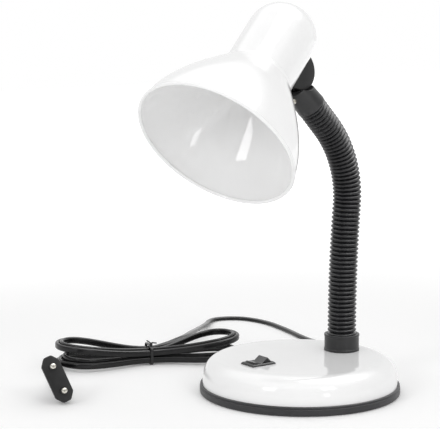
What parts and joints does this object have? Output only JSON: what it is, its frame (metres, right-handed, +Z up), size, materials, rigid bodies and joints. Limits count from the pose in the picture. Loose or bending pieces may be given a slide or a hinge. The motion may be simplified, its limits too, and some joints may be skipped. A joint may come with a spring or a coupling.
{
  "type": "desk lamp",
  "caption": "Desk lamp with a weighted round base, a rocker switch, a ribbed gooseneck, a bowl shade with a rounded cap and a mains lead tied in a hank.",
  "frame": {"origin": "centre of the round base, on the surface that it stands on", "axes": "+Z up, -Y towards the switch and the front of the shade, +Y towards the neck, so +X is to the right of someone who faces the switch"},
  "size_m": [0.3241, 0.3057, 0.2867],
  "materials": {
    "white_enamel": "gloss",
    "black_plastic": "satin",
    "ring_plastic": "satin",
    "sleeve_vinyl": "satin",
    "cord_vinyl": "satin",
    "steel": "zinc plated",
    "weight_iron": "as cast",
    "foam_pad": "matt",
    "brass": "satin",
    "nickel": "polished",
    "insulator": "satin",
    "wire_vinyl": "satin"
  },
  "bodies": {
    "base": {"base_shell": "white_enamel", "base_ring": "ring_plastic", "base_weight": "weight_iron", "bottom_plate": "steel", "foot_pad": "foam_pad", "plate_screws": "steel", "switch_housing": "black_plastic", "switch_terminals": "brass", "terminal_block": "insulator", "base_wires": "wire_vinyl", "neck_collar": "black_plastic", "neck_stud": "steel", "neck_washer": "steel", "neck_nut": "steel", "neck_core_0": "steel", "neck_sleeve_0": "sleeve_vinyl", "cord_grip": "black_plastic", "cord_lead": "cord_vinyl", "cord_hank": "cord_vinyl", "cord_tail": "cord_vinyl", "hank_tie": "cord_vinyl", "plug_body": "black_plastic", "plug_pins": "nickel", "pin_sleeves": "black_plastic"},
    "rocker": {"switch_rocker": "black_plastic"},
    "link_1": {"neck_core_1": "steel", "neck_sleeve_1": "sleeve_vinyl"},
    "link_2": {"neck_core_2": "steel", "neck_sleeve_2": "sleeve_vinyl"},
    "link_3": {"neck_core_3": "steel", "neck_sleeve_3": "sleeve_vinyl"},
    "link_4": {"neck_core_4": "steel", "neck_sleeve_4": "sleeve_vinyl"},
    "link_5": {"neck_core_5": "steel", "neck_sleeve_5": "sleeve_vinyl"},
    "link_6": {"neck_core_6": "steel", "neck_sleeve_6": "sleeve_vinyl"},
    "link_7": {"neck_core_7": "steel", "neck_sleeve_7": "sleeve_vinyl"},
    "link_8": {"neck_core_8": "steel", "neck_sleeve_8": "sleeve_vinyl"},
    "head": {"neck_core_9": "steel", "neck_sleeve_9": "sleeve_vinyl", "top_collar": "black_plastic", "collar_screw": "steel", "head_bracket": "black_plastic", "bracket_screws": "steel", "shade": "white_enamel", "holder_strap": "steel", "holder_screw": "steel", "lampholder_body": "insulator", "lampholder_shell": "brass", "lampholder_contact": "brass"}
  },
  "joints": [
    {"name": "switch_rocker", "type": "hinge", "parent": "base", "child": "rocker", "pos_m": [0, -0.0388, 0.0246], "axis": [-1, 0, 0], "range_deg": [0, 24]},
    {"name": "neck_lower_bend", "type": "hinge", "parent": "base", "child": "link_1", "pos_m": [0, 0.0403, 0.05028], "axis": [1, 0, 0], "range_deg": [-10, 10], "deforming": ["neck_sleeve_0", "neck_sleeve_1"]},
    {"name": "neck_sway", "type": "hinge", "parent": "link_1", "child": "link_2", "pos_m": [0, 0.04051, 0.06972], "axis": [0, 0.9998, -0.0196], "range_deg": [-9, 9], "deforming": ["neck_sleeve_1", "neck_sleeve_2"]},
    {"name": "neck_lower_bend_2", "type": "hinge", "parent": "link_2", "child": "link_3", "pos_m": [0, 0.04106, 0.08915], "axis": [1, 0, 0], "range_deg": [-10, 10], "deforming": ["neck_sleeve_2", "neck_sleeve_3"]},
    {"name": "neck_lower_bend_3", "type": "hinge", "parent": "link_3", "child": "link_4", "pos_m": [0, 0.04196, 0.10857], "axis": [1, 0, 0], "range_deg": [-10, 10], "deforming": ["neck_sleeve_3", "neck_sleeve_4"]},
    {"name": "neck_sway_2", "type": "hinge", "parent": "link_4", "child": "link_5", "pos_m": [0, 0.04321, 0.12797], "axis": [0, 0.9973, -0.0728], "range_deg": [-9, 9], "deforming": ["neck_sleeve_4", "neck_sleeve_5"]},
    {"name": "neck_upper_bend", "type": "hinge", "parent": "link_5", "child": "link_6", "pos_m": [0, 0.04393, 0.14738], "axis": [1, 0, 0], "range_deg": [-14, 7], "deforming": ["neck_sleeve_5", "neck_sleeve_6"]},
    {"name": "neck_upper_bend_2", "type": "hinge", "parent": "link_6", "child": "link_7", "pos_m": [0, 0.04031, 0.16643], "axis": [1, 0, 0], "range_deg": [-14, 7], "deforming": ["neck_sleeve_6", "neck_sleeve_7"]},
    {"name": "neck_sway_3", "type": "hinge", "parent": "link_7", "child": "link_8", "pos_m": [0, 0.03214, 0.18401], "axis": [0, 0.8479, 0.5302], "range_deg": [-9, 9], "deforming": ["neck_sleeve_7", "neck_sleeve_8"]},
    {"name": "neck_upper_bend_3", "type": "hinge", "parent": "link_8", "child": "head", "pos_m": [0, 0.02, 0.19914], "axis": [1, 0, 0], "range_deg": [-14, 7], "deforming": ["neck_sleeve_8", "neck_sleeve_9"]}
  ],
  "couplings": [
    {"joint": "neck_lower_bend_2", "follows": "neck_lower_bend", "ratio": 1},
    {"joint": "neck_lower_bend_3", "follows": "neck_lower_bend", "ratio": 1},
    {"joint": "neck_sway_2", "follows": "neck_sway", "ratio": 1},
    {"joint": "neck_upper_bend_2", "follows": "neck_upper_bend", "ratio": 1},
    {"joint": "neck_sway_3", "follows": "neck_sway", "ratio": 1},
    {"joint": "neck_upper_bend_3", "follows": "neck_upper_bend", "ratio": 1}
  ]
}
